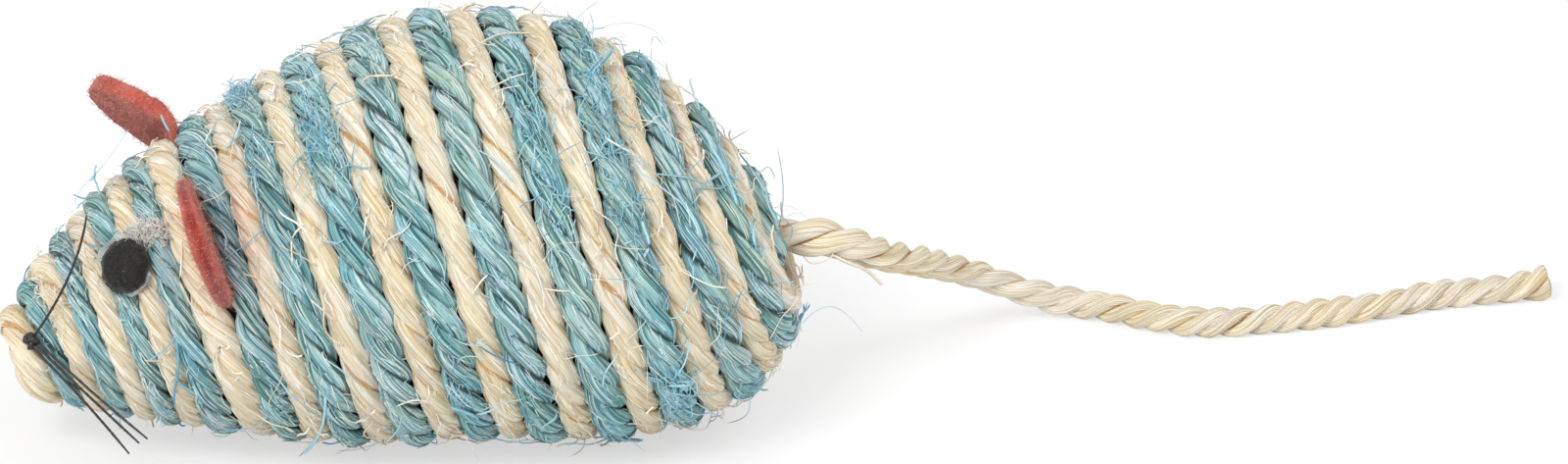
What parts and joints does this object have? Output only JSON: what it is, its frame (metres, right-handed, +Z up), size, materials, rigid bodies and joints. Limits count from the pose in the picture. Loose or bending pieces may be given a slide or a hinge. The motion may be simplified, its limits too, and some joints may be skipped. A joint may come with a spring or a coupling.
{
  "type": "catnip mouse",
  "caption": "Mouse-shaped cat toy: a catnip-filled core wound with natural and blue sisal rope, with felt ears and eyes, thread whiskers and a rope tail.",
  "frame": {"origin": "middle of the body's footprint, without the tail, on the surface that the belly rests on", "axes": "+Z up, nose towards -X, tail towards +X, the mouse's left side towards -Y"},
  "size_m": [0.1989, 0.0564, 0.0546],
  "materials": {
    "core": "moulded, satin, dark brown",
    "catnip": "dried crumbled leaf",
    "natural_sisal": "twisted natural sisal fibre, slightly glossy",
    "blue_sisal": "twisted dyed sisal fibre, slightly glossy",
    "red_felt": "brick red wool felt with a fuzzy surface",
    "black_felt": "black felt",
    "black_thread": "stiff waxed black thread"
  },
  "bodies": {
    "root": {"core_shell_left": "core", "core_shell_right": "core", "catnip_filling": "catnip", "natural_rope_winding": "natural_sisal", "blue_rope_winding": "blue_sisal", "ear_left": "red_felt", "ear_right": "red_felt", "eye_left": "black_felt", "eye_right": "black_felt", "whisker_knot_left": "black_thread", "whisker_left_upper": "black_thread", "whisker_left_lower_front": "black_thread", "whisker_left_lower_middle": "black_thread", "whisker_left_lower_rear": "black_thread", "whisker_knot_right": "black_thread", "whisker_right_upper": "black_thread", "whisker_right_lower_front": "black_thread", "whisker_right_lower_middle": "black_thread", "whisker_right_lower_rear": "black_thread", "tail_anchor": "natural_sisal", "tail_rope": "natural_sisal"}
  },
  "joints": []
}
